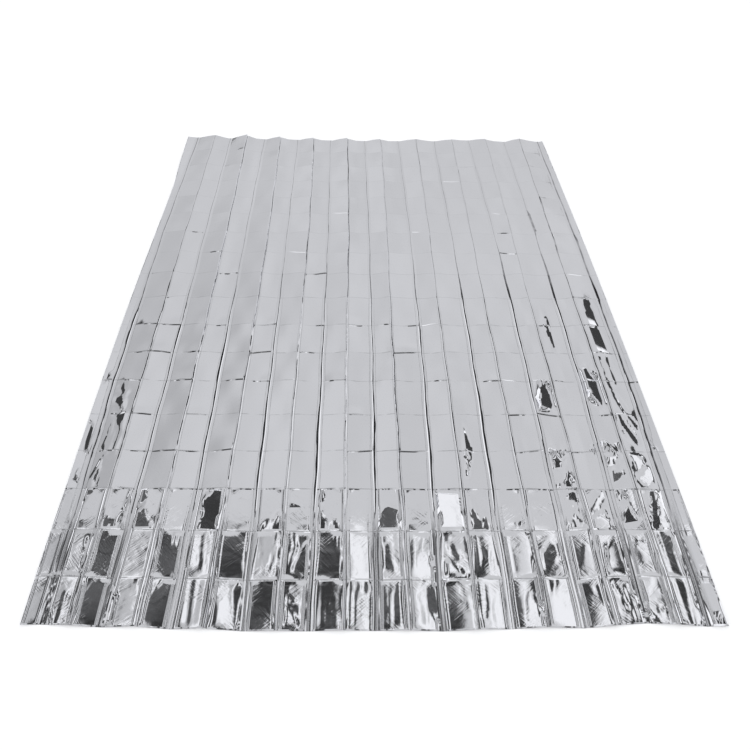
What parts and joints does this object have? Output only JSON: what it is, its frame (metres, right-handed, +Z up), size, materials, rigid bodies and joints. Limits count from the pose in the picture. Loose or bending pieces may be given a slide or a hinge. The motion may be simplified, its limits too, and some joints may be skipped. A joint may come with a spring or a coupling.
{
  "type": "emergency foil blanket",
  "caption": "Thin silver film blanket lying spread out, with the grid of lengthwise and cross creases from its packing still standing in it.",
  "frame": {"origin": "on the ground under the middle of the spread sheet's outline", "axes": "+X across the sheet, +Y along its length towards the far end, +Z up, away from the ground"},
  "size_m": [1.61, 2.108, 0.0193],
  "materials": {
    "silver_film": "mirror-bright metallised film, creased"
  },
  "bodies": {
    "root": {"foil_sheet": "silver_film"}
  },
  "joints": []
}
